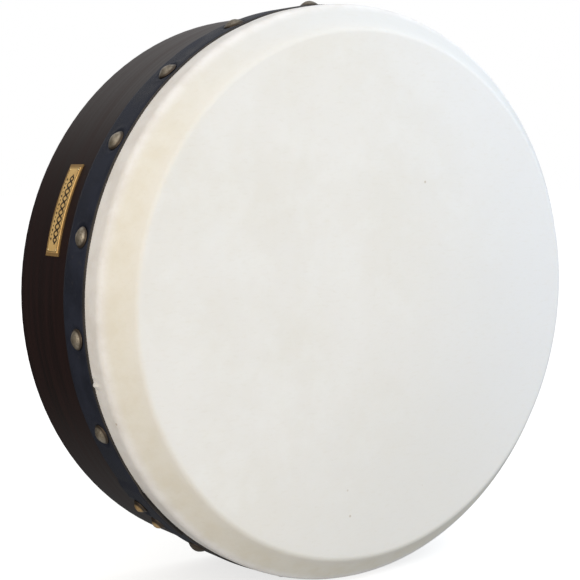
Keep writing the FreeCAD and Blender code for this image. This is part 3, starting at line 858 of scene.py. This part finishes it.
def build_bracket_screws(material):
    """Cross-slotted heads of the wood screws that hold the brackets."""
    seat = SHELL_RADIUS - WALL_THICKNESS - BRACKET_GAP - BRACKET_THICKNESS
    places = loose_middles("bracket_screws")
    matrices = []
    dice = random.Random(4)
    for index in range(1, 9):
        low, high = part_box("tuner_bracket_%d" % index)
        middle = (low + high) / 2
        angle = math.atan2(middle.z, middle.x)
        for place in places:
            if angle_gap(math.atan2(place.z, place.x), angle) < math.radians(5):
                inward = looking_out(angle, 0, 0) @ Matrix.Rotation(math.pi, 4, "X")
                side = place - polar(place.dot(polar(1, angle, 0)), angle, place.y)
                spot = polar(seat, angle, place.y) + side
                spin = Matrix.Rotation(dice.uniform(0, TAU), 4, "Z")
                matrices.append(Matrix.Translation(spot) @ inward @ spin)
    head = slotted_head(3.2 * MM, 1.9 * MM, 2)
    place_copies("bracket_screw_heads", head, matrices, material, "bracket_screws")


def build_crossbar_screws(material):
    """Slotted brass screws in the ends of the crossed bars."""
    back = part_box("crossbar_level")[1].y
    dice = random.Random(8)
    matrices = []
    for place in loose_middles("crossbar_screws"):
        facing_back = Matrix.Rotation(-math.pi / 2, 4, "X")
        spot = Matrix.Translation((place.x, back + 0.05 * MM, place.z))
        matrices.append(spot @ facing_back @ Matrix.Rotation(dice.uniform(0, TAU), 4, "Z"))
    head = slotted_head(4.0 * MM, 2.4 * MM, 1)
    place_copies("crossbar_screw_heads", head, matrices, material, "crossbar_screws")


def build_bolt(index, material):
    """A tuning bolt with a cut thread, a washer-faced collar and a chamfered square head."""
    node = "tuning_bolt_%d" % index
    low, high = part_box(node)
    middle = (low + high) / 2
    tip = low.y
    collar_start = tip + 46.0 * MM
    collar_end = collar_start + 1.6 * MM
    thread_end = collar_start - 14 * MM
    crest = 3.0 * MM
    depth = 0.42 * MM
    pitch = 1.0 * MM
    half_head = 3.15 * MM
    sides = 28

    def beside_axis(reach, turn, along):
        return Vector((middle.x + reach * math.cos(turn), along, middle.z + reach * math.sin(turn)))

    mesh = bmesh.new()
    rings = []
    steps = int((collar_start - tip) / pitch * 6)
    for step in range(steps + 1):
        along = tip + (collar_start - tip) * step / steps
        nose = smooth((along - tip) / (1.2 * MM))
        shank = smooth((along - thread_end) / (0.6 * MM))
        ring = []
        for side in range(sides):
            phase = ((along - tip) / pitch - side / sides) % 1.0
            groove = depth * (1 - abs(2 * phase - 1)) * (1 - shank)
            reach = (crest - groove) * (0.72 + 0.28 * nose)
            ring.append(beside_axis(reach, TAU * side / sides, along))
        rings.append(ring)
    collar = ((5.6 * MM, collar_start), (6.0 * MM, collar_start + 0.3 * MM),
              (6.0 * MM, collar_end - 0.4 * MM), (5.2 * MM, collar_end), (3.4 * MM, collar_end))
    for reach, along in collar:
        rings.append([beside_axis(reach, TAU * side / sides, along) for side in range(sides)])
    bridge(mesh, rings, caps=True)
    heading = math.atan2(middle.z, middle.x)
    corner_reach = half_head * math.sqrt(2) * 0.93
    corners = [heading + TAU * (corner + 0.5) / 4 + tilt for corner in range(4) for tilt in (-0.11, 0.11)]
    levels = ((collar_end - 0.1 * MM, 1.0), (high.y - 0.9 * MM, 1.0),
              (high.y - 0.25 * MM, 0.93), (high.y, 0.8))
    head = []
    for along, share in levels:
        head.append([beside_axis(corner_reach * share, angle, along) for angle in corners])
    bridge(mesh, head, caps=True)
    piece = new_piece("threaded_bolt_%d" % index, mesh, material, node, shade_smooth=False)
    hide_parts(node)


# ---- finishes on the CAD nodes that stay ----


def finish_node(node, material):
    """Gives a CAD node a procedural finish."""
    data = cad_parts[node].data
    data.materials.clear()
    data.materials.append(material)


def finish_nodes():
    """The woods and metals of every CAD node that is shown."""
    finish_node("shell", stained_wood("stained_hoop", "ROUND"))
    level = stained_wood("stained_bar_level", "X")
    upright = stained_wood("stained_bar_upright", "Z")
    finish_node("crossbar_level", level)
    finish_node("crossbar_upright", upright)
    for index in range(1, 5):
        finish_node("crossbar_cleat_%d" % index, upright if index % 2 else level)
    finish_node("tuning_ring", birch())
    dark_steel = black_steel()
    pad_steel = metal("pad_steel", rgb(0.56, 0.55, 0.53), rgb(0.36, 0.35, 0.33), 0.3, 0.5, 220.0)
    for index in range(1, 9):
        finish_node("tuner_bracket_%d" % index, dark_steel)
        finish_node("bearing_pad_%d" % index, pad_steel)
    finish_node("name_plate", brushed_brass())
    pin_brass = metal("pin_brass", rgb(0.85, 0.70, 0.40), rgb(0.5, 0.36, 0.17), 0.25, 0.4, 400.0)
    finish_node("plate_pins", pin_brass)


# ---- surroundings ----


def build_floor():
    """A plain pale floor under the drum."""
    floor = Surface("pale_floor")
    floor.plain(Emission_Color=rgb(1.0, 1.0, 1.0), Emission_Strength=0.72, Specular_IOR_Level=0.1)
    cloud = floor.noise(floor.place, 3.0, 2.0)
    floor.colour(floor.blend(cloud, rgb(0.52, 0.52, 0.52), rgb(0.56, 0.56, 0.56)))
    floor.rough(0.9)
    mesh = bmesh.new()
    reach = 14.0
    corners = ((-reach, -reach), (reach, -reach), (reach, reach), (-reach, reach))
    mesh.faces.new([mesh.verts.new((x, y, FLOOR)) for x, y in corners])
    ground = new_piece("studio_floor", mesh, floor.material, None)
    ground.visible_diffuse = False
    ground.visible_glossy = False


def build_world():
    """A white studio: bright and cool in front to the right, dimmer and warm to the left and behind."""
    world = bpy.data.worlds.new("white_studio")
    world.use_nodes = True
    bpy.context.scene.world = world
    tree = world.node_tree
    backdrop = tree.nodes["Background"]

    def add(kind, settings, inputs):
        node = tree.nodes.new(kind)
        for key, value in settings.items():
            setattr(node, key, value)
        for key, value in inputs.items():
            if isinstance(value, bpy.types.NodeSocket):
                tree.links.new(value, node.inputs[key])
            else:
                node.inputs[key].default_value = value
        return node

    def ramp(value, low, high, out_low, out_high):
        node = add("ShaderNodeMapRange", {"interpolation_type": "SMOOTHSTEP"}, {
            "Value": value, "From Min": low, "From Max": high, "To Min": out_low, "To Max": out_high})
        return node.outputs["Result"]

    heading = add("ShaderNodeTexCoord", {}, {}).outputs["Generated"]
    facing = add("ShaderNodeVectorMath", {"operation": "DOT_PRODUCT"}, {0: heading, 1: (0.12, -0.95, 0.29)})
    parts = add("ShaderNodeSeparateXYZ", {}, {"Vector": heading}).outputs
    front = ramp(facing.outputs["Value"], -0.55, 0.22, 0.08, 0.87)
    above = ramp(parts[2], 0.25, 0.9, 0.0, 0.62)
    upper = add("ShaderNodeMath", {"operation": "MAXIMUM"}, {0: front, 1: above}).outputs[0]
    below = ramp(parts[2], -0.6, 0.1, 0.52, 1.0)
    shaded = add("ShaderNodeMath", {"operation": "MULTIPLY"}, {0: upper, 1: below}).outputs[0]
    bounce = ramp(parts[2], -0.7, -0.35, 0.36, 0.0)
    level = add("ShaderNodeMath", {"operation": "MAXIMUM"}, {0: shaded, 1: bounce}).outputs[0]
    side = ramp(parts[0], -0.8, 0.8, 0.0, 1.0)
    tint = add("ShaderNodeMix", {"data_type": "RGBA"}, {
        "Factor": side, "A": rgb(1.0, 0.955, 0.88), "B": rgb(0.915, 0.965, 1.0)}).outputs["Result"]
    seen = add("ShaderNodeLightPath", {}, {}).outputs["Is Camera Ray"]
    colour = add("ShaderNodeMix", {"data_type": "RGBA"}, {
        "Factor": seen, "A": tint, "B": rgb(1.0, 1.0, 1.0)})
    strength = add("ShaderNodeMix", {"data_type": "FLOAT"}, {"Factor": seen, "A": level, "B": 1.0})
    tree.links.new(colour.outputs["Result"], backdrop.inputs["Color"])
    tree.links.new(strength.outputs["Result"], backdrop.inputs["Strength"])


def area_light(name, place, aim, size, power, colour):
    """A soft square light that points at a place on the drum."""
    data = bpy.data.lights.new(name, "AREA")
    data.size = size
    data.energy = power
    data.color = colour
    lamp = bpy.data.objects.new(name, data)
    lamp.location = place
    lamp.rotation_euler = (Vector(aim) - Vector(place)).to_track_quat("-Z", "Y").to_euler()
    bpy.context.scene.collection.objects.link(lamp)


def build_lights():
    """A cool key from the upper right, a warm side light from the left, and a fill for the open back."""
    area_light("cool_key", (0.70, -0.85, 0.80), (0.05, 0, 0.05), 0.7, 7.0, (0.80, 0.90, 1.0))
    area_light("warm_side", (-1.15, -0.80, 0.20), (-0.1, 0, 0), 0.9, 5.5, (1.0, 0.89, 0.72))
    area_light("back_fill", (0.6, 2.0, 0.9), (0, 0, 0), 2.4, 9.0, (1.0, 0.98, 0.97))


CAMERA_AZIMUTH = math.radians(-35.0)
CAMERA_ELEVATION = math.radians(5.1)
CAMERA_DISTANCE = 1.1066
CAMERA_AIM = Vector((-0.0381, FACE + 0.0572, 0.0036))
CAMERA_LENS = 85.25


def build_camera():
    """A short telephoto a little above the drum's middle, off to its left."""
    data = bpy.data.cameras.new("camera")
    data.lens = CAMERA_LENS
    data.sensor_width = 36.0
    data.clip_start = 0.01
    camera = bpy.data.objects.new("camera", data)
    flat = math.cos(CAMERA_ELEVATION)
    back = Vector((math.sin(CAMERA_AZIMUTH) * flat, -math.cos(CAMERA_AZIMUTH) * flat,
                   math.sin(CAMERA_ELEVATION)))
    camera.location = CAMERA_AIM + back * CAMERA_DISTANCE
    camera.rotation_euler = (-back).to_track_quat("-Z", "Y").to_euler()
    bpy.context.scene.collection.objects.link(camera)
    bpy.context.scene.camera = camera


def build_everything():
    """Every piece of the drum, in the order from its head to its back."""
    antique = metal("antique_brass", rgb(0.50, 0.43, 0.31), rgb(0.20, 0.15, 0.09), 0.28, 0.46, 260.0)
    steel = metal("plated_steel", rgb(0.66, 0.65, 0.62), rgb(0.42, 0.40, 0.37), 0.22, 0.4, 160.0)
    tape = band_tape("navy_tape", rgb(0.0125, 0.0155, 0.028), rgb(0.021, 0.0255, 0.045))
    bead = band_tape("bead_cord", rgb(0.030, 0.027, 0.027), rgb(0.062, 0.055, 0.050))
    build_head()
    build_band(tape, bead)
    seat = BAND_RADIUS - TACK_SINK
    lap_seat = LAP_OUTER - TACK_SINK
    pewter = tack_metal("pewter_tack", seat, rgb(0.44, 0.395, 0.33), rgb(0.26, 0.225, 0.18),
                        1.3 * MM, 0.85)
    golden = tack_metal("golden_tack", lap_seat, rgb(0.85, 0.62, 0.34), rgb(0.60, 0.40, 0.19),
                        2.2 * MM, 0.0)
    build_tacks("tack_heads", TACK_PLACES, seat, TACK_RADIUS, pewter, "tacks")
    build_tacks("lap_tack_heads", LAP_TACK_PLACES, lap_seat, LAP_TACK_RADIUS, golden, "lap_tacks")
    build_plate_ornament(engraving_fill())
    build_bracket_screws(steel)
    build_crossbar_screws(antique)
    for index in range(1, 9):
        build_bolt(index, steel)
    finish_nodes()


build_everything()
build_floor()
build_world()
build_lights()
build_camera()
bpy.context.scene.view_settings.view_transform = "Standard"
